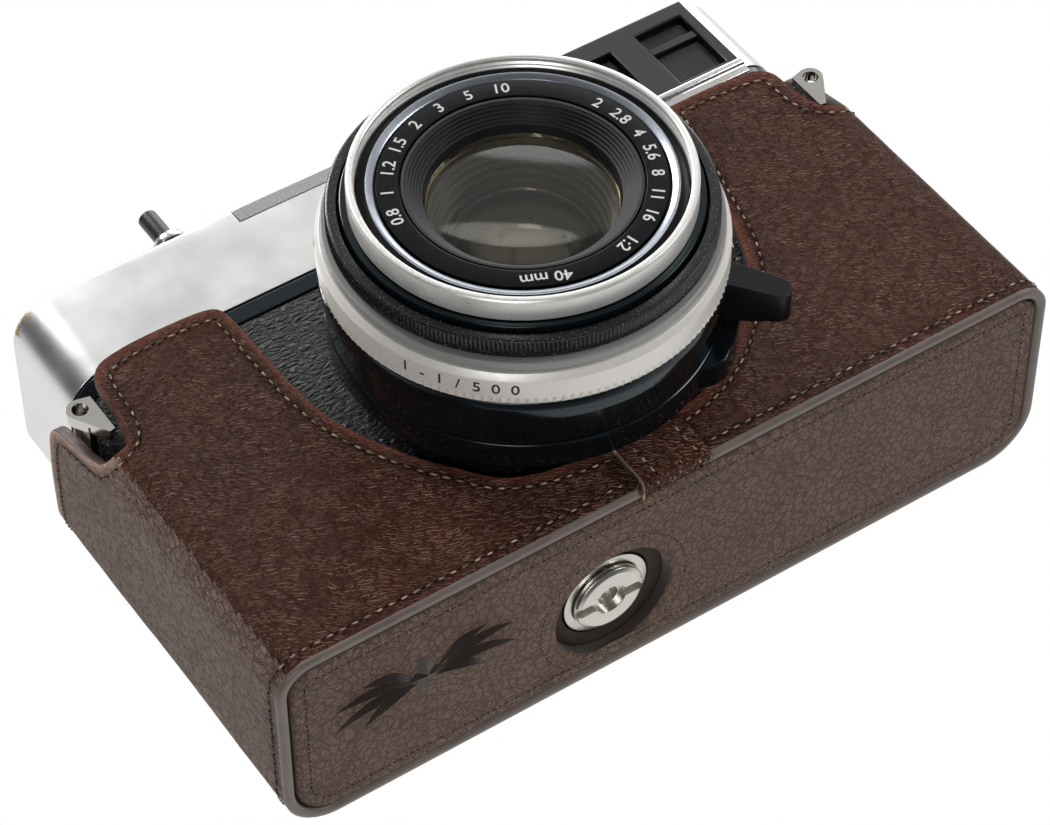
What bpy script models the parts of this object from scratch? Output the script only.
"""Fixed-lens rangefinder camera standing in a stitched leather half case.

Every size below is in millimetres and is turned into metres when a mesh is made.
+X is to the right for someone facing the lens, -Y is the way the lens looks, +Z is up.
The origin is the middle of the case's footprint, on the surface that the case stands on.
"""
import math

import bmesh
import bpy
from mathutils import Vector

MM = 0.001
GAP = 0.3                      # air left between pieces that touch on the real object
RING_SIDES = 40

# Half case
CASE_HALF_X = 68.5
CASE_FRONT, CASE_BACK = -2.7, 34.5
CASE_FRONT_RADIUS, CASE_BACK_RADIUS = 6.0, 9.0
LEATHER = 1.9
PANEL_TOP = 2.0
FLOOR_TOP = 8.0
SCREW_X, SCREW_Y = -11.4, 19.6
RECESS_RADIUS = 10.1
TAB_X = (-6.6, 5.2)

# Camera body
BODY_HALF_X = 64.8
BODY_FRONT, BODY_BACK = -0.5, 32.0
BODY_RADIUS = 7.0
BODY_BOTTOM = 8.3
COVERING_BACK = 28.0
DECK_BOTTOM, DECK_TOP = 62.5, 65.7
COVER_BOTTOM, COVER_TOP = 66.0, 84.3
SHEET = 1.0                    # thickness of the pressed covers
EYE_X = 65.4                   # out to the strap lugs' eyes

# Lens, and the shafts through the top
LENS_X, LENS_Z = -2.8, 36.6
BARREL_RADIUS = 26.5
BARREL_BORE = 22.8
RING_BORE = 27.0
LEVER_ANGLE = math.radians(-40)
BUTTON_X, BUTTON_Y = -35.8, 2.8
ADVANCE_X, ADVANCE_Y = -50.5, 16.0
REWIND_X, REWIND_Y = 50.0, 17.0
DIAL_X, DIAL_Y = -37.0, 19.4
SPROCKET_X, SPROCKET_Y = -29.0, 21.0
SHAFT_RADIUS, SHAFT_HOLE = 2.2, 2.6
BUTTON_RADIUS, BUTTON_HOLE = 1.6, 1.9
RELEASE_RADIUS, RELEASE_HOLE = 2.5, 2.9
SOCKET_RADIUS, SOCKET_HOLE = 4.7, 5.0
SHOE_X = -16.6

BLADE_COUNT = 5
BLADE_PIVOT_RADIUS = 16.5
BLADE_THICKNESS, BLADE_PITCH = 0.3, 0.6
BLADE_FRONT = -13.9

# name: (base colour, roughness, metallic)
FINISHES = {
    "brown_leather": ((0.075, 0.026, 0.015), 0.55, 0.0),
    "pebbled_leather": ((0.13, 0.09, 0.065), 0.6, 0.0),
    "fibre_board": ((0.10, 0.07, 0.05), 0.9, 0.0),
    "pale_nickel": ((0.62, 0.60, 0.55), 0.35, 1.0),
    "satin_chrome": ((0.78, 0.78, 0.78), 0.32, 1.0),
    "bright_chrome": ((0.85, 0.85, 0.84), 0.15, 1.0),
    "black_lacquer": ((0.012, 0.012, 0.014), 0.2, 0.0),
    "black_anodised": ((0.02, 0.02, 0.023), 0.4, 0.3),
    "black_leatherette": ((0.018, 0.02, 0.018), 0.6, 0.0),
    "cast_alloy": ((0.25, 0.25, 0.26), 0.5, 1.0),
    "steel": ((0.5, 0.5, 0.52), 0.3, 1.0),
    "black_plastic": ((0.02, 0.02, 0.02), 0.35, 0.0),
    "coated_glass": ((0.12, 0.12, 0.10), 0.05, 0.0),
}


# ---------------------------------------------------------------- making solids

def clear_scene():
    for thing in list(bpy.data.objects):
        bpy.data.objects.remove(thing, do_unlink=True)


def finish(name):
    """The shared material of one finish."""
    if name in bpy.data.materials:
        return bpy.data.materials[name]
    colour, roughness, metallic = FINISHES[name]
    material = bpy.data.materials.new(name)
    material.use_nodes = True
    shader = material.node_tree.nodes["Principled BSDF"]
    shader.inputs["Base Color"].default_value = (*colour, 1.0)
    shader.inputs["Roughness"].default_value = roughness
    shader.inputs["Metallic"].default_value = metallic
    return material


def solid(name, points, faces, finish_name, origin=(0.0, 0.0, 0.0)):
    """One closed object from points in millimetres, with its own origin at origin."""
    shape = bmesh.new()
    centre = Vector(origin)
    corners = [shape.verts.new((Vector(point) - centre) * MM) for point in points]
    for face in faces:
        shape.faces.new([corners[index] for index in face])
    bmesh.ops.recalc_face_normals(shape, faces=shape.faces)
    mesh = bpy.data.meshes.new(name)
    shape.to_mesh(mesh)
    shape.free()
    mesh.shade_smooth()
    mesh.set_sharp_from_angle(angle=math.radians(30))
    if finish_name:
        mesh.materials.append(finish(finish_name))
    thing = bpy.data.objects.new(name, mesh)
    thing.location = centre * MM
    bpy.context.scene.collection.objects.link(thing)
    return thing


def loft(name, sections, finish_name, origin=(0.0, 0.0, 0.0), closed=False):
    """Skin between rings of points: capped at both ends, or joined end to start."""
    count = len(sections[0])
    points = [point for section in sections for point in section]
    faces = []
    for level in range(len(sections) if closed else len(sections) - 1):
        low = level * count
        high = (level + 1) % len(sections) * count
        for index in range(count):
            after = (index + 1) % count
            faces.append((low + index, low + after, high + after, high + index))
    if not closed:
        faces.append(tuple(range(count)))
        faces.append(tuple(range(len(points) - count, len(points))))
    return solid(name, points, faces, finish_name, origin)


def along(axis, outline, level):
    """Lift a 2-D outline to 3-D: Z from (x, y), Y from (x, z), X from (y, z)."""
    if axis == "Z":
        return [(u, v, level) for u, v in outline]
    if axis == "Y":
        return [(u, level, v) for u, v in outline]
    return [(level, u, v) for u, v in outline]


def prism(name, outline, low, high, finish_name=None, axis="Z", origin=(0.0, 0.0, 0.0)):
    sections = [along(axis, outline, low), along(axis, outline, high)]
    return loft(name, sections, finish_name, origin)


def block(name, low, high, finish_name=None):
    outline = [(low[0], low[1]), (high[0], low[1]), (high[0], high[1]), (low[0], high[1])]
    return prism(name, outline, low[2], high[2], finish_name)


def circle(centre, radius, sides=RING_SIDES):
    step = math.tau / sides
    return [(centre[0] + radius * math.cos(step * side), centre[1] + radius * math.sin(step * side))
            for side in range(sides)]


def rod(name, centre, radius, low, high, finish_name=None, axis="Z", sides=24):
    origin = along(axis, [centre], low)[0]
    return prism(name, circle(centre, radius, sides), low, high, finish_name, axis, origin)


def turned_ring(name, centre, profile, finish_name, axis="Y", sides=RING_SIDES):
    """Turn a closed profile of (radius, level) points about an axis through centre."""
    sections = []
    for side in range(sides):
        angle = math.tau * side / sides
        sections.append([
            along(axis, [(centre[0] + radius * math.cos(angle),
                          centre[1] + radius * math.sin(angle))], level)[0]
            for radius, level in profile])
    origin = along(axis, [centre], profile[0][1])[0]
    return loft(name, sections, finish_name, origin, closed=True)


def turned_solid(name, centre, profile, finish_name, axis="Z", sides=24):
    """Stack circles of (radius, level): a solid turning with flat ends."""
    sections = [along(axis, circle(centre, radius, sides), level) for radius, level in profile]
    return loft(name, sections, finish_name, along(axis, [centre], profile[0][1])[0])


def combine(target, tool, operation):
    """Cut the tool from the target, or join it on. The tool itself isn't part of the object."""
    tool.hide_render = True
    tool.display_type = "WIRE"
    change = target.modifiers.new(operation.lower() + "_" + tool.name, "BOOLEAN")
    change.operation = operation
    change.solver = "EXACT"
    change.object = tool


def cut(target, *tools):
    for tool in tools:
        combine(target, tool, "DIFFERENCE")


def join(target, *tools):
    for tool in tools:
        combine(target, tool, "UNION")


def plan(half_x, front, back, front_radius, back_radius, steps=5):
    """Plan outline of a body with round corners, anticlockwise from the front left."""
    corners = ((-half_x + front_radius, front + front_radius, front_radius, 180),
               (half_x - front_radius, front + front_radius, front_radius, 270),
               (half_x - back_radius, back - back_radius, back_radius, 0),
               (-half_x + back_radius, back - back_radius, back_radius, 90))
    outline = []
    for x, y, radius, start in corners:
        for step in range(steps + 1):
            angle = math.radians(start + 90 * step / steps)
            outline.append((x + radius * math.cos(angle), y + radius * math.sin(angle)))
    return outline


def body_plan(inset=0.0, steps=5):
    return plan(BODY_HALF_X - inset, BODY_FRONT + inset, BODY_BACK - inset,
                BODY_RADIUS - inset, BODY_RADIUS - inset, steps)


# ---------------------------------------------------------------- half case

# Top edge of the front leather, left to right: (x, height). It dips to clear the strap lugs
# and the lens, and stands up as a tab on each side.
FRONT_EDGE = (
    (-62.5, 53.0), (-62.2, 56.5), (-61.9, 60.0), (-61.3, 63.2), (-59.6, 65.2), (-55.2, 66.3),
    (-46.0, 66.5), (-40.6, 66.0), (-39.0, 65.2), (-38.3, 63.4), (-37.9, 52.0), (-37.5, 43.6),
    (-36.6, 37.6), (-35.0, 32.6), (-32.9, 28.4), (-29.9, 23.1), (-26.2, 18.2), (-22.4, 13.6),
    (-18.0, 11.4), (-13.0, 10.3), (-7.5, 9.7), (-1.0, 9.6), (5.2, 9.7), (10.0, 10.5),
    (14.0, 11.8), (18.0, 14.0), (21.5, 16.5), (27.6, 22.3), (31.7, 27.2), (34.6, 33.5),
    (36.4, 41.0), (38.2, 48.0), (40.2, 57.5), (41.0, 61.0), (42.2, 62.9), (45.0, 63.2),
    (56.0, 62.8), (59.0, 62.0), (60.6, 60.2), (61.0, 56.8), (61.3, 53.0), (62.5, 50.2))
# Top edge of the side leather, front to back: (y, height).
SIDE_EDGE = ((-1.9, 49.2), (0.0, 49.6), (1.6, 53.0), (3.3, 59.0), (5.1, 63.8), (7.5, 65.8),
             (15.3, 67.1), (24.0, 67.1))


def case_stations():
    """Walk round the wall: (outer point, inward direction, top height) for each station."""
    stations = []
    left, right = [], []
    for step in range(7):
        angle = math.radians(90 * step / 6)
        inward = (math.cos(angle), math.sin(angle))
        x = -CASE_HALF_X + CASE_FRONT_RADIUS * (1 - inward[0])
        y = CASE_FRONT + CASE_FRONT_RADIUS * (1 - inward[1])
        left.append(((x, y), inward))
        right.append(((-x, y), (-inward[0], inward[1])))
    side_levels = [level for level in SIDE_EDGE if level[0] > CASE_FRONT + CASE_FRONT_RADIUS]
    for y, height in reversed(side_levels):
        stations.append(((-CASE_HALF_X, y), (1.0, 0.0), height))
    for point, inward in left[:-1]:
        stations.append((point, inward, edge_height(SIDE_EDGE, point[1])))
    for x, height in FRONT_EDGE:
        stations.append(((x, CASE_FRONT), (0.0, 1.0), height))
    for point, inward in reversed(right[:-1]):
        stations.append((point, inward, edge_height(SIDE_EDGE, point[1])))
    for y, height in side_levels:
        stations.append(((CASE_HALF_X, y), (-1.0, 0.0), height))
    back_height = SIDE_EDGE[-1][1]
    for side in (1, -1):
        for step in range(7):
            turn = step if side == 1 else 6 - step
            angle = math.radians(90 * turn / 6)
            outward = (side * math.cos(angle), math.sin(angle))
            x = side * (CASE_HALF_X - CASE_BACK_RADIUS) + CASE_BACK_RADIUS * outward[0]
            y = CASE_BACK - CASE_BACK_RADIUS + CASE_BACK_RADIUS * outward[1]
            stations.append(((x, y), (-outward[0], -outward[1]), back_height))
    return stations


def edge_height(edge, place):
    """Height of an edge at a place along it, straight between its points."""
    for (start, low), (end, high) in zip(edge, edge[1:]):
        if place <= end:
            share = max(0.0, (place - start) / (end - start))
            return low + share * (high - low)
    return edge[-1][1]


def make_case():
    sections = []
    for (x, y), (inward_x, inward_y), height in case_stations():
        inner_x, inner_y = x + LEATHER * inward_x, y + LEATHER * inward_y
        sections.append([(x, y, 0.0), (x, y, height), (inner_x, inner_y, height),
                         (inner_x, inner_y, 0.0)])
    wrap = loft("case_wrap", sections, "brown_leather", closed=True)
    cut(wrap, block("tab_notch", (TAB_X[0] - GAP, CASE_FRONT - 2, -1),
                    (TAB_X[1] + GAP, CASE_FRONT + LEATHER + 1, 1.4)))

    inset = LEATHER + GAP
    floor_plan = plan(CASE_HALF_X - inset, CASE_FRONT + inset, CASE_BACK - inset,
                      CASE_FRONT_RADIUS - inset, CASE_BACK_RADIUS - inset)
    panel = prism("bottom_panel", floor_plan, 0.0, PANEL_TOP, "pebbled_leather")
    cut(panel, rod("recess_cutter", (SCREW_X, SCREW_Y), RECESS_RADIUS, -1, PANEL_TOP + 1,
                   sides=RING_SIDES))
    core = prism("base_core", floor_plan, PANEL_TOP + GAP, FLOOR_TOP, "fibre_board")
    cut(core, rod("core_cutter", (SCREW_X, SCREW_Y), 7.8, PANEL_TOP - 1, FLOOR_TOP + 1,
                  sides=RING_SIDES))

    tab_face = CASE_FRONT - GAP
    tab_profile = [(tab_face - 1.1, 0.0), (CASE_FRONT + LEATHER - 0.1, 0.0),
                   (CASE_FRONT + LEATHER - 0.1, 1.1), (tab_face, 1.1), (tab_face, 9.6),
                   (tab_face - 1.1, 9.6)]
    prism("front_tab", tab_profile, TAB_X[0], TAB_X[1], "brown_leather", axis="X")


def make_case_screw():
    centre = (SCREW_X, SCREW_Y)
    turned_ring("screw_bush", centre, [(7.4, 2.2), (7.4, 7.7), (3.5, 7.7), (3.5, 2.2)],
                "pale_nickel", axis="Z")
    screw = turned_solid("case_screw", centre, [(5.5, 0.7), (5.9, 1.0), (5.9, 1.9), (3.1, 1.9),
                                                (3.1, 12.4)], "pale_nickel", sides=32)
    cut(screw, block("slot_cutter", (SCREW_X - 7, SCREW_Y - 0.7, 0.2),
                     (SCREW_X + 7, SCREW_Y + 0.7, 1.3)))
    cut(screw, rod("dimple_cutter", centre, 1.5, 0.2, 1.6, sides=16))


# ---------------------------------------------------------------- camera body

def front_of(outline):
    """The points of an outline that lie in front of the covering's back edge."""
    return [point for point in outline if point[1] < COVERING_BACK - 0.1]


def make_lower_body():
    casting_top = DECK_BOTTOM - GAP
    casting_bottom = 11.0
    casting = prism("body_casting", plan(63.7, 0.6, 28.0, 6.0, 2.0), casting_bottom, casting_top,
                    "cast_alloy")
    wall_back, floor, ceiling = 3.5, 14.0, 60.0
    open_back, open_front, open_top = 30.0, -1.0, 70.0
    pockets = (("takeup_chamber", (-61.2, wall_back, floor), (-22.5, open_back, ceiling)),
               ("light_box", (-20.8, open_front, 24.6), (15.2, open_back, 48.6)),
               ("electrics_pocket", (17.5, wall_back, floor), (31.0, 23.0, open_top)),
               ("cassette_chamber", (33.0, wall_back, floor), (61.2, open_back, ceiling)),
               ("plate_pocket", (-24.0, 25.5, 20.6), (19.0, open_back, 52.6)))
    for name, low, high in pockets:
        cut(casting, block(name, low, high))
    cut(casting, rod("casting_socket_hole", (SCREW_X, SCREW_Y), SOCKET_HOLE, 10.0, 14.0))
    cut(casting, rod("casting_release_hole", (SPROCKET_X, SPROCKET_Y), RELEASE_HOLE, 10.0,
                      15.0))
    for side, x, y in (("advance", ADVANCE_X, ADVANCE_Y), ("rewind", REWIND_X, REWIND_Y)):
        cut(casting, rod("casting_%s_hole" % side, (x, y), SHAFT_HOLE, 59.0, 64.0))

    base = prism("base_plate", body_plan(), BODY_BOTTOM, 10.7, "satin_chrome")
    cut(base, rod("base_socket_hole", (SCREW_X, SCREW_Y), SOCKET_HOLE, 7.0, 12.0))
    cut(base, rod("base_release_hole", (SPROCKET_X, SPROCKET_Y), RELEASE_HOLE, 7.0, 12.0))
    socket_low, socket_high, socket_bore = 8.4, 13.7, 3.5
    turned_ring("tripod_socket", (SCREW_X, SCREW_Y),
                [(SOCKET_RADIUS, socket_low), (SOCKET_RADIUS, socket_high),
                 (socket_bore, socket_high), (socket_bore, socket_low)], "steel", axis="Z",
                sides=24)
    rod("rewind_release", (SPROCKET_X, SPROCKET_Y), RELEASE_RADIUS, socket_low, 14.5, "steel")

    # The covering wraps the front and both sides, and stops at the back door.
    skin = 0.8
    inner_half = BODY_HALF_X - skin
    outer = front_of(plan(BODY_HALF_X, BODY_FRONT, COVERING_BACK, BODY_RADIUS, 0.01))
    inner = front_of(plan(inner_half, BODY_FRONT + skin, COVERING_BACK, BODY_RADIUS - skin, 0.01))
    wrap = ([(-BODY_HALF_X, COVERING_BACK)] + outer + [(BODY_HALF_X, COVERING_BACK),
            (inner_half, COVERING_BACK)] + inner[::-1] + [(-inner_half, COVERING_BACK)])
    leatherette = prism("leatherette", wrap, casting_bottom, casting_top, "black_leatherette")
    cut(leatherette, rod("leatherette_hole", (LENS_X, LENS_Z), 25.0, -3, 3, axis="Y",
                         sides=RING_SIDES))

    door_front = COVERING_BACK + GAP
    start = math.asin((door_front - BODY_BACK + BODY_RADIUS) / BODY_RADIUS)
    door_plan = []
    for side in (1, -1):
        for step in range(5):
            turn = step if side == 1 else 4 - step
            angle = start + (math.pi / 2 - start) * turn / 4
            door_plan.append((side * (BODY_HALF_X - BODY_RADIUS + BODY_RADIUS * math.cos(angle)),
                              BODY_BACK - BODY_RADIUS + BODY_RADIUS * math.sin(angle)))
    door = prism("back_door", door_plan, casting_bottom, casting_top, "black_lacquer")
    cut(door, block("door_pocket", (-23.5, 27.0, 20.6), (18.0, 29.6, 52.6)))
    block("pressure_plate", (-22.0, 26.6, 21.5), (16.4, 29.2, 51.7), "steel")

    deck = prism("chassis_deck", body_plan(), DECK_BOTTOM, DECK_TOP, "black_lacquer")
    holes = (("button", BUTTON_X, BUTTON_Y, BUTTON_HOLE), ("advance", ADVANCE_X, ADVANCE_Y, SHAFT_HOLE),
             ("rewind", REWIND_X, REWIND_Y, SHAFT_HOLE))
    for name, x, y, radius in holes:
        cut(deck, rod("deck_%s_hole" % name, (x, y), radius, 60.0, 70.0))


def make_strap_lug(side):
    """Thick fin with an eye, on a strap that runs back along the body's side."""
    name = "strap_lug_left" if side < 0 else "strap_lug_right"
    height = 59.4 if side < 0 else 56.6
    fin = [(-2.2, -5.6), (-1.2, -5.8)]
    for step in range(9):
        angle = math.radians(-35 + 135 * step / 8)
        fin.append((0.4 + 2.0 * math.cos(angle), 0.5 + 2.0 * math.sin(angle)))
    fin.append((-2.2, 1.9))
    outline = [(side * (EYE_X + x), height + z) for x, z in fin]
    lug = prism(name, outline, -1.6, 0.4, "bright_chrome", axis="Y",
                origin=(side * EYE_X, 0.0, height))
    strap_x = sorted((side * 65.1, side * 66.2))
    strap = block(name + "_strap", (strap_x[0], -0.6, height - 3.0),
                  (strap_x[1], 14.0, height + 2.0))
    join(lug, strap)
    cut(lug, rod(name + "_hole", (side * (EYE_X + 0.3), height + 0.4), 1.3, -3.0, 0.9,
                 axis="Y", sides=16))


def make_top_cover():
    bevel = 1.0
    sections = [along("Z", body_plan(), COVER_BOTTOM),
                along("Z", body_plan(), COVER_TOP - bevel),
                along("Z", body_plan(0.3 * bevel), COVER_TOP - 0.3 * bevel),
                along("Z", body_plan(bevel), COVER_TOP)]
    cover = loft("top_cover", sections, "satin_chrome")
    cut(cover, prism("cover_inside", body_plan(SHEET), COVER_BOTTOM - 1, COVER_TOP - SHEET))
    cut(cover, block("bezel_opening", (19.7, -2.0, 66.9), (59.6, 1.6, 86.0)))
    cut(cover, block("shoe_plate_notch", (-26.0, -2.0, 80.7), (-7.2, 5.3, 86.0)))
    cut(cover, block("eyepiece_opening", (30.0, 30.0, 68.5), (44.0, 34.0, 80.0)))
    cut(cover, rod("spot_button_hole", (-20.0, 74.0), 2.9, 30.0, 34.0, axis="Y"))
    holes = (("button", BUTTON_X, BUTTON_Y, BUTTON_HOLE), ("advance", ADVANCE_X, ADVANCE_Y, SHAFT_HOLE),
             ("rewind", REWIND_X, REWIND_Y, SHAFT_HOLE), ("counter", DIAL_X, 13.0, 3.9))
    for name, x, y, radius in holes:
        cut(cover, rod("cover_%s_hole" % name, (x, y), radius, 82.0, 87.0))

    shoe_plate = [(BODY_FRONT, 81.0), (0.4, 81.0), (0.4, 83.4), (5.0, 83.4), (5.0, COVER_TOP),
                  (0.3, COVER_TOP), (BODY_FRONT, 83.6)]
    prism("shoe_front_plate", shoe_plate, -25.7, -7.5, "steel", axis="X")
    half, rail = 10.4, 3.4
    shoe = [(SHOE_X - half, 84.6), (SHOE_X + half, 84.6), (SHOE_X + half, 88.2),
            (SHOE_X + half - rail, 88.2), (SHOE_X + half - rail, 87.4), (SHOE_X + half - 1, 87.4),
            (SHOE_X + half - 1, 85.5), (SHOE_X - half + 1, 85.5), (SHOE_X - half + 1, 87.4),
            (SHOE_X - half + rail, 87.4), (SHOE_X - half + rail, 88.2), (SHOE_X - half, 88.2)]
    accessory_shoe = prism("accessory_shoe", shoe, 7.0, 26.0, "bright_chrome", axis="Y")
    cut(accessory_shoe, rod("contact_hole", (SHOE_X, 16.5), 1.9, 84.0, 86.0))
    rod("shoe_contact", (SHOE_X, 16.5), 1.6, 84.6, 86.0, "steel", sides=16)
    turned_ring("button_collar", (BUTTON_X, BUTTON_Y),
                [(3.0, 84.6), (2.7, 86.3), (1.95, 86.3), (1.95, 84.6)], "bright_chrome",
                axis="Z", sides=24)
    rod("counter_window", (DIAL_X, 13.0), 3.6, 83.6, 84.5, "coated_glass")


def make_finder():
    face = -0.9
    bezel = block("finder_bezel", (20.0, face, 67.2), (59.3, 1.3, 84.2), "black_plastic")
    cut(bezel, block("viewfinder_opening", (30.0, -2.0, 68.2), (43.0, 3.0, 80.3)))
    cut(bezel, block("rangefinder_opening", (48.4, -2.0, 68.2), (57.4, 3.0, 81.2)))
    block("viewfinder_window", (30.3, 0.2, 68.5), (42.7, 1.1, 80.0), "coated_glass")
    block("rangefinder_window", (48.7, 0.2, 68.5), (57.1, 1.1, 80.9), "coated_glass")
    trim = [(-0.8, 64.0), (-1.4, 64.0), (-1.4, 65.3), (-2.1, 65.7), (-2.1, 66.6), (-1.7, 66.95),
            (-0.8, 66.95)]
    prism("finder_trim", trim, 20.0, 59.0, "bright_chrome", axis="X")
    optics = [(21.5, 1.9), (58.5, 1.9), (58.5, 9.0), (45.0, 9.0), (45.0, 30.5), (28.0, 30.5),
              (28.0, 9.0), (21.5, 9.0)]
    prism("finder_block", optics, 66.4, 82.6, "black_plastic")
    eyepiece = block("eyepiece_frame", (30.3, 30.8, 68.8), (43.7, 34.0, 79.7), "black_plastic")
    cut(eyepiece, block("eyepiece_cutter", (32.5, 30.0, 70.5), (41.5, 35.0, 78.0)))
    block("eyepiece_glass", (32.8, 31.8, 70.8), (41.2, 32.8, 77.7), "coated_glass")
    rod("spot_button", (-20.0, 74.0), 2.6, 28.5, 34.0, "bright_chrome", axis="Y")


# ---------------------------------------------------------------- lens and shutter

def lens_ring(name, profile, finish_name):
    return turned_ring(name, (LENS_X, LENS_Z), profile, finish_name)


def lens_point(radius, degrees):
    """(x, z) of a point at a radius and an angle about the lens axis, seen from the front."""
    angle = math.radians(degrees)
    return LENS_X + radius * math.cos(angle), LENS_Z + radius * math.sin(angle)


def make_focus_lever():
    """Finger lever that stands out down to the right; its face slopes back to a round end."""
    reach_out = Vector((math.cos(LEVER_ANGLE), 0.0, math.sin(LEVER_ANGLE)))
    across = Vector((-math.sin(LEVER_ANGLE), 0.0, math.cos(LEVER_ANGLE)))
    back = -9.6
    sections = []
    for reach, half, face in ((28.6, 2.5, -17.6), (37.4, 2.0, -15.0), (38.7, 1.7, -14.7),
                              (39.6, 0.8, -14.5)):
        base = Vector((LENS_X, 0.0, LENS_Z)) + reach_out * reach
        sections.append([base + across * offset + Vector((0.0, y, 0.0))
                         for offset, y in ((-half, face), (half, face), (half, back),
                                           (-half, back))])
    return loft("focus_lever_body", sections, None)


def lens_sector(name, radii, low, high, start, end, steps, finish_name):
    """Piece of a flat ring between two angles, seen from the front."""
    outline = []
    for radius, turns in ((radii[1], range(steps + 1)), (radii[0], range(steps, -1, -1))):
        for step in turns:
            outline.append(lens_point(radius, start + (end - start) * step / steps))
    return prism(name, outline, low, high, finish_name, axis="Y", origin=(LENS_X, low, LENS_Z))


def make_lens():
    lens_ring("lens_barrel", [(BARREL_RADIUS, -30.4), (BARREL_RADIUS, -0.8), (24.6, -0.8),
                              (24.6, 0.3), (BARREL_BORE, 0.3), (BARREL_BORE, -30.4)],
              "black_anodised")
    lens_ring("filter_ring", [(25.1, -34.5), (25.5, -34.1), (25.5, -30.7), (24.2, -30.7),
                              (24.2, -34.2), (24.5, -34.5)], "bright_chrome")
    lens_ring("retaining_ring", [(21.4, -32.6), (22.5, -33.2), (23.9, -33.2), (23.9, -31.9),
                                 (21.4, -31.9)], "bright_chrome")
    lens_ring("name_ring", [(17.8, -32.9), (21.1, -32.9), (21.1, -31.9), (17.8, -31.9)],
              "black_lacquer")
    lens_ring("light_baffle", [(17.0, -32.8), (17.5, -32.8), (17.5, -31.5), (22.5, -31.5),
                               (22.5, -27.5), (14.4, -27.5), (14.4, -30.1), (15.2, -30.1),
                               (15.2, -31.0), (16.2, -31.0), (16.2, -31.9), (17.0, -31.9)],
              "black_anodised")
    turned_solid("front_glass", (LENS_X, LENS_Z), [(3.0, -29.98), (8.0, -29.65), (14.1, -28.9),
                                                   (14.1, -27.2), (8.0, -26.4), (3.0, -26.1)],
                 "coated_glass", axis="Y", sides=32)
    lens_ring("aperture_ring", [(28.3, -29.6), (28.7, -29.2), (28.7, -26.4), (RING_BORE, -26.4),
                                (RING_BORE, -29.6)], "black_anodised")
    lens_ring("film_speed_ring", [(29.5, -26.1), (29.5, -24.6), (RING_BORE, -24.6),
                                  (RING_BORE, -26.1)], "steel")
    lens_ring("shutter_speed_ring", [(29.7, -24.3), (30.4, -23.25), (30.4, -18.65),
                                     (RING_BORE, -18.65), (RING_BORE, -24.3)], "satin_chrome")
    lens_ring("focus_ring", [(29.9, -18.3), (30.2, -16.9), (30.2, -15.0), (29.6, -14.8),
                             (29.6, -9.3), (RING_BORE, -9.3), (RING_BORE, -18.3)],
              "black_lacquer")
    lens_ring("lens_base", [(29.6, -9.0), (29.6, -4.4), (RING_BORE, -4.4), (RING_BORE, -9.0)],
              "black_lacquer")
    # A raised shoulder runs round the base's right side, and slopes away at both ends.
    shoulder = [(28.5, -58), (29.4, -64), (31.0, -61), (32.2, -57)]
    shoulder += [(32.2, -57 + 67 * step / 10) for step in range(1, 11)]
    shoulder += [(29.4, 16), (28.5, 10)] + [(28.5, 10 - 68 * step / 10) for step in range(1, 10)]
    join(bpy.data.objects["lens_base"],
         prism("base_shoulder", [lens_point(*point) for point in shoulder], -8.8, -4.4,
               axis="Y"))
    join(bpy.data.objects["focus_ring"], make_focus_lever())
    lens_sector("focus_index", (30.0, 31.5), -14.6, -10.6, -25.5, -21.0, 2, "bright_chrome")


def blade_outline(turn):
    """One shutter blade: it covers a fifth of the opening and hooks round to its pivot."""
    local = [(-0.8, -0.8)]
    for step in range(6):
        angle = math.radians(-4 + 80 * step / 5)
        local.append((10.7 * math.cos(angle), 10.7 * math.sin(angle)))
    for step in range(7):
        angle = math.radians(-20 + 220 * step / 6)
        local.append((1.9 * math.cos(angle), BLADE_PIVOT_RADIUS + 1.9 * math.sin(angle)))
    local.append((-1.0, 8.0))
    cosine, sine = math.cos(turn), math.sin(turn)
    return [(LENS_X + x * cosine - z * sine, LENS_Z + x * sine + z * cosine) for x, z in local]


def make_shutter():
    lens_ring("shutter_plate", [(22.5, -15.6), (22.5, -14.2), (9.6, -14.2), (9.6, -15.6)],
              "black_anodised")
    for number in range(BLADE_COUNT):
        turn = math.tau * number / BLADE_COUNT
        front = BLADE_FRONT + BLADE_PITCH * number
        pivot = (LENS_X - BLADE_PIVOT_RADIUS * math.sin(turn), front,
                 LENS_Z + BLADE_PIVOT_RADIUS * math.cos(turn))
        prism("shutter_blade_%d" % (number + 1), blade_outline(turn), front,
              front + BLADE_THICKNESS, "steel", axis="Y", origin=pivot)
    lens_ring("rear_cell", [(22.5, -7.0), (22.5, -3.0), (10.4, -3.0), (10.4, -7.0)],
              "black_anodised")
    turned_solid("rear_glass", (LENS_X, LENS_Z), [(3.0, -7.6), (10.1, -6.8), (10.1, -3.6),
                                                  (3.0, -2.8)], "coated_glass", axis="Y")


# ---------------------------------------------------------------- film transport and controls

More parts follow.
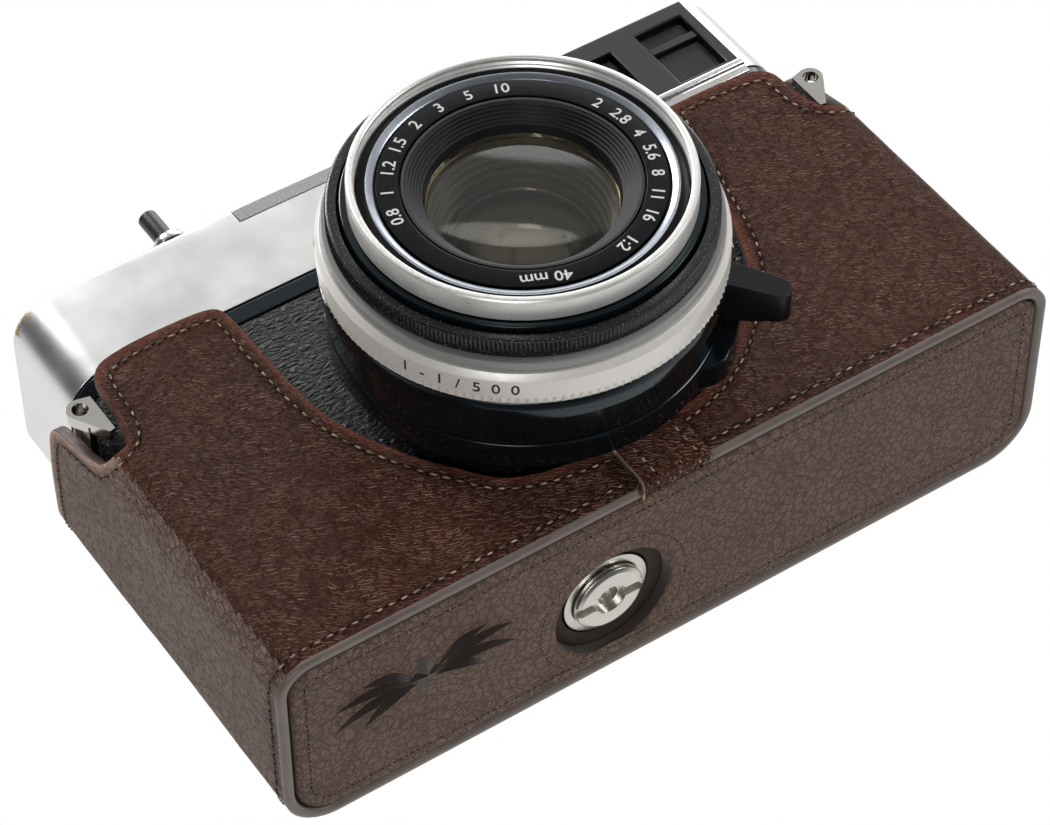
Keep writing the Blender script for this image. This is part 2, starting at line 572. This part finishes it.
def make_advance():
    centre = (ADVANCE_X, ADVANCE_Y)
    rest = math.radians(50)
    outline = []
    for step in range(15):
        angle = rest + math.radians(38 + 284 * step / 14)
        outline.append((ADVANCE_X + 8.0 * math.cos(angle), ADVANCE_Y + 8.0 * math.sin(angle)))
    for reach, offset in ((12.0, -2.9), (18.6, -2.6), (20.0, -1.4), (20.0, 1.4), (18.6, 2.6),
                          (12.0, 2.9)):
        outline.append((ADVANCE_X + reach * math.cos(rest) - offset * math.sin(rest),
                        ADVANCE_Y + reach * math.sin(rest) + offset * math.cos(rest)))
    prism("advance_lever", outline, 84.7, 87.2, "bright_chrome", origin=(*centre, 84.7))
    turned_solid("advance_cap", centre, [(6.4, 87.5), (6.4, 88.2), (5.6, 88.8)], "satin_chrome",
                 sides=32)
    turned_solid("advance_shaft", centre, [(SHAFT_RADIUS, 58.0), (SHAFT_RADIUS, 84.4)], "steel")
    turned_solid("takeup_spool", centre, [(7.2, 16.5), (7.2, 18.2), (6.0, 18.2), (6.0, 55.6),
                                          (7.2, 55.6), (7.2, 57.4)], "black_plastic")

    teeth = 8
    plain, toothed = [], []
    for step in range(4 * teeth):
        angle = math.tau * step / (4 * teeth)
        tip = 5.0 if step % 4 == 0 else 4.2
        for radius, ring in ((3.6, plain), (tip, toothed)):
            ring.append((SPROCKET_X + radius * math.cos(angle),
                         SPROCKET_Y + radius * math.sin(angle)))
    levels = ((plain, 17.0), (plain, 22.5), (toothed, 22.5), (toothed, 24.3), (plain, 24.3),
              (plain, 49.0), (toothed, 49.0), (toothed, 50.8), (plain, 50.8), (plain, 58.0))
    loft("film_sprocket", [along("Z", ring, level) for ring, level in levels], "steel",
         origin=(SPROCKET_X, SPROCKET_Y, 17.0))
    turned_solid("counter_dial", (DIAL_X, DIAL_Y), [(1.5, 76.0), (1.5, 81.2), (8.6, 81.2),
                                                    (8.6, 82.0)], "black_plastic", sides=32)


def make_rewind():
    centre = (REWIND_X, REWIND_Y)
    turned_solid("rewind_shaft", centre, [(3.4, 47.0), (3.4, 53.0), (SHAFT_RADIUS, 53.0),
                                          (SHAFT_RADIUS, 84.4)], "steel")
    knob = turned_solid("rewind_knob", centre, [(8.1, 84.7), (8.5, 85.2), (8.5, 87.6),
                                                (8.1, 88.0)], "satin_chrome", sides=40)
    for side in (-1, 1):
        low_y, high_y = sorted((REWIND_Y + side * 3.2, REWIND_Y + side * 4.2))
        join(knob, block("knob_ear_%s" % ("front" if side < 0 else "back"),
                         (REWIND_X - 6.6, low_y, 87.0), (REWIND_X - 4.4, high_y, 90.0)))
    hinge_x, hinge_z = REWIND_X - 5.5, 89.2
    arm = [(hinge_x - 0.8, hinge_z - 0.6), (hinge_x + 13.0, hinge_z - 0.6),
           (hinge_x + 13.0, hinge_z + 0.5), (hinge_x - 0.8, hinge_z + 0.5)]
    crank = prism("rewind_crank", arm, REWIND_Y - 2.8, REWIND_Y + 2.8, "bright_chrome", axis="Y",
                  origin=(hinge_x, REWIND_Y, hinge_z))
    join(crank, turned_solid("crank_handle", (REWIND_X + 5.0, REWIND_Y),
                             [(2.2, 89.0), (2.4, 90.5), (2.4, 93.4), (1.9, 93.9)], None))


def make_shutter_button():
    turned_solid("shutter_button", (BUTTON_X, BUTTON_Y),
                 [(BUTTON_RADIUS, 72.0), (BUTTON_RADIUS, 92.5), (1.3, 92.9)], "black_anodised")


def main():
    clear_scene()
    make_case()
    make_case_screw()
    make_lower_body()
    for side in (-1, 1):
        make_strap_lug(side)
    make_top_cover()
    make_finder()
    make_lens()
    make_shutter()
    make_advance()
    make_rewind()
    make_shutter_button()


main()
